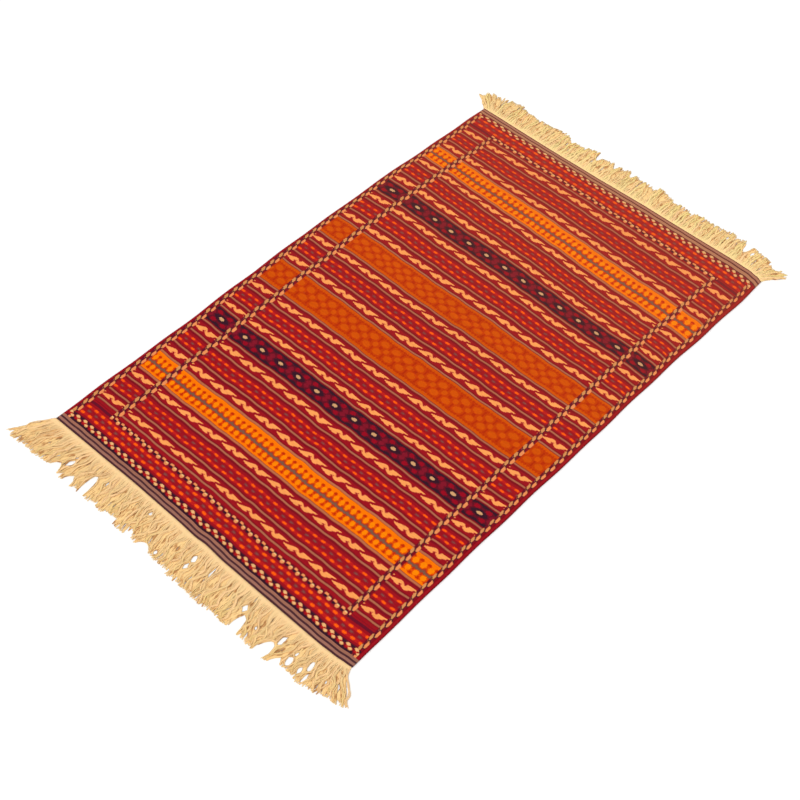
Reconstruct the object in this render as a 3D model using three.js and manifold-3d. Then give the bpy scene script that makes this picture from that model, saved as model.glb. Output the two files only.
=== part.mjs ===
// Kashkuli rug: one flat-woven cloth lying flat, with a loose warp fringe at each end.
// Millimetres, +Z up. The length runs along +Y, the near fringe points to -Y, and the underside
// lies on z = 0. The origin is the middle of the underside's bounding box.
import * as THREE from 'three';
import { mergeVertices } from 'three/addons/utils/BufferGeometryUtils.js';
import Module from 'manifold-3d';

// Driving dimensions of the cloth.
const clothWidth = 1000;
const clothLength = 1650;
const clothThickness = 4;
const clothColor = '#8f1a24';

// Driving dimensions of a fringe. A tuft is a lock of warps that have worked together.
const fringeThickness = 3;
const pieceGap = 0.3;
const matDepth = 30;
const tuftRootWidth = 30;
const tuftStart = 8;
const tuftBend = 0.5;
const tuftPoint = 11;
const fringeColor = '#eecb96';

// How finely the curved edges are stepped.
const sideSteps = 33;
const endSteps = 40;
const tuftSteps = 4;
const gapSteps = 12;

// A table's rows as objects, with its columns as their names.
function table(columns, rows) {
  return rows.map((row) => Object.fromEntries(columns.map((name, index) => [name, row[index]])));
}

// The selvedges wander: how far each one stands from its straight line, in +X, at a distance
// along the rug from the near end.
const selvedges = table(['at', 'left', 'right'], [
  [0, -5, -2],
  [150, -7, -4],
  [400, -8, -6],
  [650, -14, -6],
  [850, -18, -4],
  [1050, -18, -5],
  [1250, -17, -4],
  [1400, -11, 0],
  [1550, -8, 3],
  [1650, -5, 1],
]);

// The woven ends wander too: how far each one stands from its straight line, in +Y, at a distance
// across the rug from the left selvedge.
const ends = table(['at', 'near', 'far'], [
  [0, -1, 4],
  [150, 0, 3],
  [280, 1, 2],
  [420, -1, 4],
  [505, -4, 6],
  [530, -2, 7],
  [600, -6, 9],
  [750, -8, 9],
  [900, -9, 11],
  [1000, -4, 5],
]);

// One row for each tuft, from the left selvedge to the right: where it leaves the cloth, how far its
// tip leans in +X, how far it reaches out from the cloth, and how wide it is near its tip.
const tuftColumns = ['root', 'lean', 'reach', 'tip'];

const nearTufts = table(tuftColumns, [
  [15, -55, 110, 20],
  [34, -48, 108, 26],
  [56, -46, 112, 26],
  [80, -43, 108, 26],
  [104, -40, 108, 26],
  [124, -36, 100, 22],
  [146, -18, 107, 20],
  [168, -17, 111, 18],
  [186, -2, 109, 18],
  [200, -2, 108, 16],
  [224, 6, 107, 16],
  [248, 4, 101, 26],
  [272, 8, 109, 20],
  [296, 7, 100, 26],
  [320, 5, 100, 26],
  [343, 3, 115, 14],
  [366, 4, 98, 26],
  [390, 5, 104, 24],
  [414, -5, 107, 13],
  [438, 13, 113, 18],
  [463, 8, 109, 24],
  [488, 7, 116, 18],
  [512, 5, 104, 22],
  [536, 5, 121, 13],
  [560, 6, 116, 22],
  [584, 6, 112, 26],
  [608, 5, 113, 24],
  [633, 8, 119, 20],
  [657, 8, 113, 24],
  [681, 7, 112, 25],
  [707, 3, 112, 22],
  [735, 22, 113, 16],
  [758, 19, 112, 22],
  [782, 18, 115, 18],
  [806, 0, 108, 12],
  [830, -38, 112, 20],
  [852, -18, 97, 16],
  [872, -28, 112, 18],
  [890, -4, 98, 16],
  [912, -4, 98, 22],
  [934, -2, 106, 14],
  [952, 2, 105, 12],
  [966, 10, 98, 24],
  [974, 24, 95, 22],
  [982, 40, 91, 24],
  [985, 57, 83, 20],
]);

const farTufts = table(tuftColumns, [
  [15, -61, 48, 18],
  [18, -50, 62, 20],
  [26, -36, 78, 18],
  [46, -10, 88, 20],
  [68, -4, 93, 26],
  [92, 0, 89, 26],
  [114, -4, 82, 20],
  [138, 0, 81, 26],
  [163, 0, 80, 26],
  [188, 5, 89, 26],
  [214, 3, 88, 27],
  [240, 1, 90, 27],
  [262, -4, 84, 16],
  [292, -2, 83, 22],
  [317, 1, 78, 26],
  [341, 1, 90, 20],
  [365, -7, 96, 13],
  [397, 1, 82, 18],
  [424, 1, 87, 22],
  [454, 6, 86, 18],
  [477, -2, 95, 16],
  [496, -3, 88, 16],
  [526, 2, 86, 24],
  [551, 1, 85, 26],
  [577, -1, 82, 24],
  [600, -2, 98, 14],
  [624, 2, 82, 26],
  [650, 2, 76, 27],
  [676, 2, 77, 27],
  [702, 2, 75, 27],
  [728, 4, 82, 26],
  [753, 0, 84, 24],
  [773, -2, 78, 16],
  [793, -1, 90, 22],
  [816, 0, 87, 24],
  [841, 1, 94, 22],
  [866, 3, 90, 24],
  [886, -1, 82, 12],
  [915, 7, 80, 20],
  [942, 4, 80, 26],
  [964, 12, 76, 26],
  [976, 24, 66, 20],
  [982, 34, 74, 20],
  [985, 53, 63, 18],
]);

// Gaps that show the floor through a fringe: the middle of each one across the rug and out from
// the cloth, its breadth and length, and how far its outer end is turned towards +X, in degrees.
const gapColumns = ['across', 'out', 'breadth', 'length', 'turn'];

const nearGaps = table(gapColumns, [
  [139, 60, 10, 20, -35],
  [377, 34, 11, 16, 0],
  [464, 88, 11, 18, 0],
  [543, 46, 16, 28, 20],
  [540, 69, 10, 26, 40],
  [711, 51, 15, 22, -30],
  [775, 71, 9, 14, 0],
  [839, 49, 12, 24, 15],
  [886, 69, 16, 32, 5],
  [913, 76, 8, 16, 15],
  [932, 53, 13, 31, 15],
  [983, 65, 9, 11, 0],
]);

const farGaps = table(gapColumns, [
  [838, 62, 8, 14, 0],
  [921, 60, 7, 13, 15],
]);

// The value of one column of a table at a place between its rows, easing from row to row.
function easedValue(rows, column, at) {
  const next = Math.max(1, rows.findIndex((row) => row.at >= at));
  const from = rows[next - 1];
  const to = rows[next];
  const part = THREE.MathUtils.smoothstep(at, from.at, to.at);
  return THREE.MathUtils.lerp(from[column], to[column], part);
}

// Where a point of the cloth lies, from its distance across and along the untouched rectangle.
function clothPoint(across, along) {
  const left = easedValue(selvedges, 'left', along);
  const right = clothWidth + easedValue(selvedges, 'right', along);
  const near = easedValue(ends, 'near', across);
  const far = clothLength + easedValue(ends, 'far', across);
  return new THREE.Vector2(
    THREE.MathUtils.lerp(left, right, across / clothWidth),
    THREE.MathUtils.lerp(near, far, along / clothLength),
  );
}

function steps(count) {
  return Array.from({ length: count }, (_, index) => index / count);
}

// A flat sheet of a given thickness standing on z = 0.
function flatSheet(points, thickness) {
  const shape = new THREE.Shape(points);
  return new THREE.ExtrudeGeometry(shape, { depth: thickness, bevelEnabled: false });
}

// The cloth's outline: near end, right selvedge, far end, left selvedge.
function clothOutline() {
  const near = steps(endSteps).map((part) => clothPoint(part * clothWidth, 0));
  const right = steps(sideSteps).map((part) => clothPoint(clothWidth, part * clothLength));
  const far = steps(endSteps).map((part) => clothPoint((1 - part) * clothWidth, clothLength));
  const left = steps(sideSteps).map((part) => clothPoint(0, (1 - part) * clothLength));
  return [...near, ...right, ...far, ...left];
}

// A point of a fringe, from its distance across the rug and out from the cloth's end.
function fringePoint(end, across, out) {
  const root = clothPoint(THREE.MathUtils.clamp(across, 0, clothWidth), end.along);
  const overhang = across - THREE.MathUtils.clamp(across, 0, clothWidth);
  return new THREE.Vector2(root.x + overhang, root.y + end.outward * out);
}

// The matted strip where the warps leave the cloth, following its end.
function matOutline(end) {
  const parts = [...steps(endSteps), 1];
  const inner = parts.map((part) => fringePoint(end, part * clothWidth, pieceGap));
  const outer = parts.map((part) => fringePoint(end, part * clothWidth, matDepth));
  return [...inner, ...outer.reverse()];
}

// One tuft: it leaves the cloth square, bends towards its lean, and narrows to a point.
function tuftOutline(end, tuft) {
  const foot = fringePoint(end, tuft.root, tuftStart);
  const bend = fringePoint(end, tuft.root, tuft.reach * tuftBend);
  const shoulder = fringePoint(end, tuft.root, tuft.reach - tuftPoint);
  shoulder.x += tuft.lean;
  const spine = new THREE.QuadraticBezierCurve(foot, bend, shoulder);
  const left = [];
  const right = [];
  for (let step = 0; step <= tuftSteps; step += 1) {
    const part = step / tuftSteps;
    const middle = spine.getPoint(part);
    const along = spine.getTangent(part);
    const half = THREE.MathUtils.lerp(tuftRootWidth, tuft.tip, part ** 2) / 2;
    const sideways = new THREE.Vector2(-along.y, along.x).multiplyScalar(half);
    left.push(middle.clone().add(sideways));
    right.push(middle.clone().sub(sideways));
  }
  const point = spine.getTangent(1).multiplyScalar(tuftPoint).add(shoulder);
  return [...left, point, ...right.reverse()];
}

// One see-through gap: a slanted oval.
function gapOutline(end, gap) {
  const middle = fringePoint(end, gap.across, gap.out);
  const turn = THREE.MathUtils.degToRad(gap.turn);
  return steps(gapSteps).map((part) => {
    const breadthways = (gap.breadth / 2) * Math.cos(2 * Math.PI * part);
    const lengthways = (gap.length / 2) * Math.sin(2 * Math.PI * part);
    const x = breadthways * Math.cos(turn) + lengthways * Math.sin(turn);
    const out = lengthways * Math.cos(turn) - breadthways * Math.sin(turn);
    return new THREE.Vector2(middle.x + x, middle.y + end.outward * out);
  });
}

const wasm = await Module();
wasm.setup();

function toSolid(geometry) {
  const bare = geometry.clone();
  bare.deleteAttribute('normal');
  bare.deleteAttribute('uv');
  const merged = mergeVertices(bare, 1e-4);
  return new wasm.Manifold(new wasm.Mesh({
    numProp: 3,
    vertProperties: Float32Array.from(merged.attributes.position.array),
    triVerts: Uint32Array.from(merged.index.array),
  }));
}

function toGeometry(solid) {
  const mesh = solid.getMesh();
  const geometry = new THREE.BufferGeometry();
  geometry.setAttribute('position', new THREE.BufferAttribute(mesh.vertProperties, 3));
  geometry.setIndex(new THREE.BufferAttribute(mesh.triVerts, 1));
  geometry.computeVertexNormals();
  return geometry;
}

// A fringe is one comb: the matted strip and every tuft joined, less the see-through gaps.
function fringeGeometry(end) {
  let comb = toSolid(flatSheet(matOutline(end), fringeThickness));
  end.tufts.forEach((tuft) => {
    comb = comb.add(toSolid(flatSheet(tuftOutline(end, tuft), fringeThickness)));
  });
  end.gaps.forEach((gap) => {
    const cutter = flatSheet(gapOutline(end, gap), fringeThickness * 3);
    cutter.translate(0, 0, -fringeThickness);
    comb = comb.subtract(toSolid(cutter));
  });
  return toGeometry(comb);
}

const wool = new THREE.MeshStandardMaterial({ color: clothColor, roughness: 0.92, metalness: 0 });
const warp = new THREE.MeshStandardMaterial({ color: fringeColor, roughness: 0.95, metalness: 0 });

function piece(name, geometry, material) {
  const mesh = new THREE.Mesh(geometry, material);
  mesh.name = name;
  return mesh;
}

const nearEnd = { along: 0, outward: -1, tufts: nearTufts, gaps: nearGaps };
const farEnd = { along: clothLength, outward: 1, tufts: farTufts, gaps: farGaps };

const rug = new THREE.Group();
rug.add(piece('woven_cloth', flatSheet(clothOutline(), clothThickness), wool));
rug.add(piece('fringe_near', fringeGeometry(nearEnd), warp));
rug.add(piece('fringe_far', fringeGeometry(farEnd), warp));

// The rug is placed with the middle of its bounding box's base at the origin.
const box = new THREE.Box3().setFromObject(rug);
const middle = box.getCenter(new THREE.Vector3());
rug.position.set(-middle.x, -middle.y, -box.min.z);

const group = new THREE.Group();
group.add(rug);

export default group;
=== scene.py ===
"""A kashkuli rug: one flat-woven woollen cloth with a loose warp fringe at each end, lying on a pale floor.

The weave is laid out on a plain rectangle, across and along the rug, in millimetres from the near left
corner of the cloth. cloth_point() gives that rectangle the cloth's wandering edges, and weave_point()
adds the weft's drift. Everything is scaled to metres when its mesh is made.
"""
import math

import bpy
import numpy as np
from mathutils import Euler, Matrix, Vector


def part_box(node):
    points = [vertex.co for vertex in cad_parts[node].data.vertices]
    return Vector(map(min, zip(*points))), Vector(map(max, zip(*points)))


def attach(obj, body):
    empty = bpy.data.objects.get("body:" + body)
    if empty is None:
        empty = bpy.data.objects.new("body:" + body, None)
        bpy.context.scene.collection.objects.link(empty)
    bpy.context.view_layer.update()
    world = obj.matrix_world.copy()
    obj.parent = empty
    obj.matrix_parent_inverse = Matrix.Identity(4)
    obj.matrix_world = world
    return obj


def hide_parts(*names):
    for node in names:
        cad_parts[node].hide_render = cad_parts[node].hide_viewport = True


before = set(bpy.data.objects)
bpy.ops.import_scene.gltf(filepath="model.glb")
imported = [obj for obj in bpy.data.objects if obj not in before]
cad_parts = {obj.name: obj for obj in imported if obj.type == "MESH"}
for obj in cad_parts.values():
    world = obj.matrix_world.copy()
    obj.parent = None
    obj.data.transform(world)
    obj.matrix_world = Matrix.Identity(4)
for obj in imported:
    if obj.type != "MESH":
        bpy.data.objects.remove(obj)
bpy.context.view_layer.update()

MM = 0.001


def table(columns, rows):
    """A table as one array for each named column."""
    return dict(zip(columns.split(), np.array(rows, dtype=float).T))


def between(low, high, part):
    return low + (high - low) * part


def eased_part(value, start=0, stop=1):
    """How far a value has come from start to stop, from 0 to 1 and eased at both."""
    part = np.clip((value - start) / (stop - start), 0, 1)
    return part * part * (3 - 2 * part)


def waves(parts, across, along):
    """The sum of waves, each given by its height and how far it runs across and along in a radian."""
    return sum(height * np.sin(across / run + along / rise) for height, run, rise in parts)


# ---- The cloth's shape, close to the part's source ----

CLOTH_WIDTH = 1000
CLOTH_LENGTH = 1650
CLOTH_THICKNESS = 4

# How far each selvedge stands from its straight line, in +X, at a distance along the rug.
SELVEDGES = table("at left right", [
    (0, -5, -2), (150, -7, -4), (400, -8, -6), (650, -14, -6), (850, -18, -4), (1050, -18, -5),
    (1250, -17, -4), (1400, -11, 0), (1550, -8, 3), (1650, -5, 1),
])

# How far each woven end stands from its straight line, in +Y, at a distance across the rug.
ENDS = table("at near far", [
    (0, -1, 6), (150, 0, 5), (280, 1, 4), (420, -1, 6), (505, -4, 8), (530, -2, 9), (600, -6, 11),
    (750, -7, 11), (900, -8, 13), (950, -6, 11), (980, -3, 6), (1000, -1, -2),
])

# The weft doesn't run quite square. Slant: how far its right end is ahead of the middle, in +Y, and its
# left end behind. Bow: how far both its ends are ahead of the middle.
WEFT = table("at slant bow", [
    (0, 0, 0), (300, 6, 3), (550, 2, 3), (800, 0, 5), (1000, -4, -2), (1150, -12, -4), (1300, -22, -2),
    (1450, -13, -4), (1600, -6, -5), (1650, 0, 0),
])

# How far the guards stand towards +X of their places. The shift eases in from the selvedge, and fades
# out inside the guards.
GUARD_EASING = 12
GUARD_REACH = 240
GUARD_FADE = 140
GUARD_SHIFT = table("at left right", [
    (0, 3, 2), (850, 3, 2), (950, 0, 2), (1350, 0, 2), (1450, 3, 1), (1650, 3, 1),
])

# Hand weaving's small waves: the weft's, its finer ripples and the warp's. The ripples reach nearly to
# the woven ends, and the others fade out before them.
WEFT_WAVES = [(1.1, 62, 190), (0.7, 21, -75)]
WEFT_RIPPLES = [(0.55, 9, 31)]
WARP_WAVES = [(0.8, 240, 33)]
WAVE_FADE = 80
RIPPLE_FADE = 12

# Between the inner guards the motifs of neighbouring bands don't line up, and those at a band's two ends
# are pushed aside: round a place across the rug, over a breadth, and how far in +X at four places along.
FIELD_START = 111
FIELD_STOP = 889
FIELD_EASING = 60
MOTIF_WAVES = [(1.0, 83, 11.7), (0.9, 27, -19)]
PUSH_AT = (500, 700, 1180, 1240)
PUSHES = [(190, 90, (-3, 3, 3, -9)), (825, 60, (-4, -4, -4, -4))]

# The rectangle's corner, from the lowest corner of the part's cloth.
cloth_low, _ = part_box("woven_cloth")
ORIGIN_X = cloth_low.x - min(SELVEDGES["left"]) * MM
ORIGIN_Y = cloth_low.y - min(ENDS["near"]) * MM


def eased(rows, column, at):
    """A column's value at a place between its rows, easing from row to row."""
    after = np.clip(np.searchsorted(rows["at"], at), 1, len(rows["at"]) - 1)
    start, stop = rows["at"][after - 1], rows["at"][after]
    return between(rows[column][after - 1], rows[column][after], eased_part(at, start, stop))


def cloth_point(across, along):
    """X and Y of a point of the cloth, in millimetres from the rectangle's corner."""
    left = eased(SELVEDGES, "left", along)
    right = CLOTH_WIDTH + eased(SELVEDGES, "right", along)
    near = eased(ENDS, "near", across)
    far = CLOTH_LENGTH + eased(ENDS, "far", across)
    x = left + (right - left) * across / CLOTH_WIDTH
    y = near + (far - near) * along / CLOTH_LENGTH
    return x, y


def drift_at(across, along):
    """How far the weft is ahead at a point, in +Y."""
    side = across / (CLOTH_WIDTH / 2) - 1
    slant, bow = eased(WEFT, "slant", along), eased(WEFT, "bow", along)
    return slant * np.sin(side * math.pi / 2) + bow * side ** 2


def guard_shift(across, along):
    """How far a point goes with the guard beside it, in +X."""
    def share(inset):
        return np.clip(inset / GUARD_EASING, 0, 1) * np.clip((GUARD_REACH - inset) / GUARD_FADE, 0, 1)

    left, right = eased(GUARD_SHIFT, "left", along), eased(GUARD_SHIFT, "right", along)
    return left * share(across) + right * share(CLOTH_WIDTH - across)


def motif_push(across, along):
    """How far the motifs at the two ends of a band are pushed aside, in +X."""
    return sum(
        np.interp(along, PUSH_AT, push) * np.exp(-(((across - place) / breadth) ** 2))
        for place, breadth, push in PUSHES
    )


def weave_point(across, along):
    """cloth_point with the weft's drift, the guards' shift and the small waves of hand weaving."""
    from_end = np.minimum(along, CLOTH_LENGTH - along)
    inside = np.clip(from_end / WAVE_FADE, 0, 1)
    ripple = waves(WEFT_RIPPLES, across, along) * np.clip(from_end / RIPPLE_FADE, 0, 1)
    ahead = drift_at(across, along) + inside * waves(WEFT_WAVES, across, along) + ripple
    x, y = cloth_point(across, along + ahead)
    in_field = np.clip(np.minimum(across - FIELD_START, FIELD_STOP - across) / FIELD_EASING, 0, 1)
    sway = waves(MOTIF_WAVES, across, along) + motif_push(across, along)
    lean = waves(WARP_WAVES, across, along)
    return x + guard_shift(across, along) + inside * (lean + in_field * sway), y


# ---- Camera ----

LENS = 67.56
VIEW_AZIMUTH = 38.0
VIEW_ELEVATION = 51.25
VIEW_ROLL = 5.02
VIEW_DISTANCE = 3.815
# Where the camera looks, on the rectangle.
LOOK_ACROSS = 564.8
LOOK_ALONG = 640.1


def make_camera():
    data = bpy.data.cameras.new("camera")
    data.lens = LENS
    camera = bpy.data.objects.new("camera", data)
    bpy.context.collection.objects.link(camera)
    azimuth, elevation = math.radians(VIEW_AZIMUTH), math.radians(VIEW_ELEVATION)
    back = Vector((
        math.sin(azimuth) * math.cos(elevation),
        -math.cos(azimuth) * math.cos(elevation),
        math.sin(elevation),
    ))
    look_at = Vector((ORIGIN_X + LOOK_ACROSS * MM, ORIGIN_Y + LOOK_ALONG * MM, 0.0))
    camera.location = look_at + back * VIEW_DISTANCE
    aim = (-back).to_track_quat("-Z", "Y")
    roll = Euler((0, 0, math.radians(VIEW_ROLL))).to_quaternion()
    camera.rotation_euler = (aim @ roll).to_euler()
    bpy.context.scene.camera = camera


make_camera()

# ---- The weave's layout ----

# The columns of the layout, with how often each kind of band repeats in one.
FIELD_REPEATS = {"vine": 10, "dashes": 30, "beads": 40, "diamonds": 12, "hexagons": 20}
LEFT_REPEATS = {"vine": 1, "dashes": 3, "beads": 4, "diamonds": 1, "hexagons": 2}
RIGHT_REPEATS = {"vine": 1, "dashes": 2.7, "beads": 3, "diamonds": 1, "hexagons": 2}
COLUMNS = [
    ("selvedge", 0, 6.5, {}),
    ("outer guard", 6.5, 20, {}),
    ("border", 20, 93, LEFT_REPEATS),
    ("inner guard", 93, FIELD_START, {}),
    ("field", FIELD_START, FIELD_STOP, FIELD_REPEATS),
    ("inner guard", FIELD_STOP, 905, {}),
    ("border", 905, 974.5, RIGHT_REPEATS),
    ("outer guard", 974.5, 988, {}),
    ("selvedge", 988, 1000, {}),
]

# A rope's repeat shortens from the near end to the far end.
NEAR_ROPE_REPEAT = 35.6
FAR_ROPE_REPEAT = 32.4

# How far the blocks of each guard's rope have slipped.
ROPE_SLIP = table("at outer_left inner_left inner_right outer_right", [
    (0, 17, 2, 2, 18), (500, 17, 8, 4, 20), (1000, 17, 15, 20, 32), (1250, -3, 0, 30, 40),
    (1650, 0, -12, 26, 36),
])

# Where every ninth motif falls across the two ends, whose dashes and checks aren't quite evenly spread.
END_COUNTS = table("count near far", [
    (-1, 0, -9), (0, 25, 19), (9, 250, 273), (18, 490, 505), (27, 727, 735), (36, 945, 959),
    (39, 1017, 1034),
])
END_SHIFTS = {
    "near": {"outer checks": -0.05, "end dashes": 0.12, "inner checks": -0.12},
    "far": {"far checks": -0.27, "end dashes": 0.43, "inner checks": 0.34},
}

# The rows at the near end, from its edge, and at the far end, up to its edge, with their heights.
NEAR_ROWS = [
    ("end dark", 4.5), ("end mauve", 6.5), ("end dark", 5), ("end brown", 7), ("end navy", 5.5),
    ("outer checks", 15.5), ("frame dark", 3), ("ground", 6), ("end dashes", 30.5), ("ground", 5),
    ("inner checks", 16), ("ground", 8),
]
FAR_ROWS = [
    ("ground", 3.5), ("inner checks", 16), ("ground", 2), ("end dashes", 31), ("ground", 2),
    ("frame dark", 2), ("far checks", 15), ("far dark", 3), ("far brown", 8), ("far dark", 4),
    ("far mauve", 7), ("far dark", 4),
]

# The bands between them, from the near end, with the distance from the stripe before to the stripe
# after, and how far the field's first motif starts past the inner guard.
STRIPE = 8
BANDS = [
    ("vine", 39.5, 8), ("dashes", 58, 13), ("vine", 41.5, 6), ("beads", 75, 0), ("vine", 44.5, 2),
    ("dashes", 57.5, 10), ("vine", 44.5, 2), ("diamonds", 65.5, 4), ("vine", 39.5, 3),
    ("dashes", 59.5, 12), ("vine", 42.5, 7), ("hexagons", 94, -14), ("vine", 44.5, 0),
    ("dashes", 59.5, 7), ("vine", 40.5, 0), ("hexagons", 83.5, 11), ("vine", 43.5, -5),
    ("dashes", 58.5, 2), ("vine", 41, -4), ("diamonds", 59.5, 7), ("vine", 40.5, -12),
    ("dashes", 53, 0), ("vine", 39.5, -7), ("beads", 73, 2), ("vine", 41.5, -15), ("dashes", 52, 3),
    ("vine", 42, -4),
]


def layout_rows():
    """Every row of the layout, as its kind, its start and end along the rug and its motifs' shift."""
    kinds = [kind for kind, _, _ in BANDS]
    middle = [("tan stripe", STRIPE, 0)]
    for index, (kind, pitch, shift) in enumerate(BANDS):
        beside = kinds[index:index + 2]
        middle.append((kind, pitch - STRIPE, shift))
        middle.append(("lilac stripe" if "beads" in beside else "tan stripe", STRIPE, 0))
    near = [(kind, height, 0) for kind, height in NEAR_ROWS]
    far = [(kind, height, 0) for kind, height in FAR_ROWS]
    rows = [*near, *middle, *far]
    ends = np.cumsum([height for _, height, _ in rows])
    scale = CLOTH_LENGTH / ends[-1]
    starts = [0, *ends[:-1]]
    return [(kind, a * scale, b * scale, shift) for (kind, _, shift), a, b in zip(rows, starts, ends)]


ROWS = layout_rows()
FULL_WIDTH = ("end dark", "end mauve", "end brown", "far dark", "far mauve", "far brown")


def inside_inner_frame(middle):
    """Whether a row lies between the near and the far inner checks."""
    checks = [row for row in ROWS if row[0] == "inner checks"]
    return checks[0][1] < middle < checks[-1][2]


def rope_count(guard, along):
    """How many repeats a guard's rope has run from the near end."""
    slope = (FAR_ROPE_REPEAT - NEAR_ROPE_REPEAT) / CLOTH_LENGTH
    place = along - np.interp(along, ROPE_SLIP["at"], ROPE_SLIP[guard])
    return np.log(1 + slope * place / NEAR_ROPE_REPEAT) / slope


def end_count(kind, across, along):
    """How many motifs of an end's dashes or checks have run from the left."""
    end = "near" if np.mean(along) < CLOTH_LENGTH / 2 else "far"
    return np.interp(across, END_COUNTS[end], END_COUNTS["count"]) + END_SHIFTS[end][kind]


def cell(row, column):
    """The pattern in one cell of the layout, and what its repeats are counted by."""
    kind, start, stop, shift = row
    part, left, right, repeats = column
    width = (right - left) / repeats.get(kind, 1)
    inside = inside_inner_frame((start + stop) / 2)

    def by_rope(across, along):
        side = "left" if right < CLOTH_WIDTH / 2 else "right"
        return rope_count("inner_" + side if part == "inner guard" else "outer_" + side, along)

    def by_end(across, along):
        return end_count(kind, across, along)

    def by_width(across, along):
        return (across - left - (shift if part == "field" else 0)) / width

    # Outside the inner guards the far end's dark lines are in the near end's darker yarn.
    if kind == "far dark" and part not in ("field", "inner guard"):
        return "end dark", by_width
    if kind in FULL_WIDTH:
        return kind, by_width
    if kind in ("outer checks", "far checks") and part != "selvedge":
        return kind, by_end
    if part == "selvedge":
        return "selvedge", by_rope
    if part == "outer guard":
        return "rope", by_rope
    if kind == "inner checks" and part != "border":
        return kind, by_end
    if part == "inner guard" and inside:
        return "rope", by_rope
    if kind == "inner checks":
        return "maroon stripe", by_rope
    return kind, by_end if kind == "end dashes" else by_width


# ---- Yarns and charts ----


def paint(red, green, blue):
    """A colour written as on a screen, from 0 to 255, in the linear values that shaders take."""
    def linear(value):
        value /= 255
        return value / 12.92 if value <= 0.04045 else ((value + 0.055) / 1.055) ** 2.4
    return (linear(red), linear(green), linear(blue), 1)


# Each yarn by its letter in the charts, as a colour on a screen.
YARNS = {
    "g": (154, 19, 30),  # crimson ground
    "w": (128, 17, 30),  # darker crimson: painted shade in the rows beside a stripe, and a darker crimson yarn in the checks and ropes
    "s": (188, 30, 28),  # scarlet
    "d": (104, 18, 38),  # dark maroon
    "n": (54, 24, 38),  # navy, nearly black
    "E": (76, 43, 48),  # dark brown between the near end's stripes
    "o": (254, 102, 12),  # orange dashes
    "O": (236, 72, 16),  # orange dashes mixed with scarlet
    "u": (132, 74, 66),  # grey brown dashes
    "U": (136, 44, 48),  # grey brown dashes mixed with crimson
    "v": (250, 160, 86),  # peach
    "V": (234, 126, 78),  # peach mixed with crimson
    "c": (236, 144, 86),  # cream blocks
    "C": (210, 142, 84),  # dull cream blocks
    "y": (236, 180, 120),  # cream at the near end
    "Y": (208, 158, 110),  # diamonds
    "t": (176, 104, 74),  # tan
    "T": (152, 82, 60),  # darker tan: painted shade at a tan stripe's edges, and the soft edge round the rope's blocks
    "l": (184, 106, 70),  # lilac brown
    "m": (158, 108, 92),  # mauve
    "b": (160, 106, 86),  # brown
    "M": (172, 122, 98),  # far mauve
    "B": (178, 126, 94),  # far brown
    "N": (88, 46, 46),  # far dark brown
    "p": (250, 118, 2),  # plain orange
    "e": (252, 133, 2),  # bead orange
    "q": (224, 76, 2),  # rust between beads
    "r": (194, 44, 6),  # dark red
    "k": (120, 86, 68),  # grey green
    "K": (150, 64, 46),  # red brown
    "a": (98, 18, 34),  # diamond band's maroon
    "f": (150, 12, 32),  # diamond band's crimson
    "x": (128, 22, 40),  # diamond band's light maroon
    "h": (208, 80, 3),  # hexagons
    "i": (194, 60, 3),  # rust ground
    "j": (180, 44, 5),  # dark rust
    "z": (120, 4, 18),  # selvedge edge
}

DASH = ["sOOOOsssss", "OooooOssss", "sOOOOsssss"]
GREY_DASH = ["gggggUUUUg", "UggggUuuuU", "gggggUUUUg"]

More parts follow.
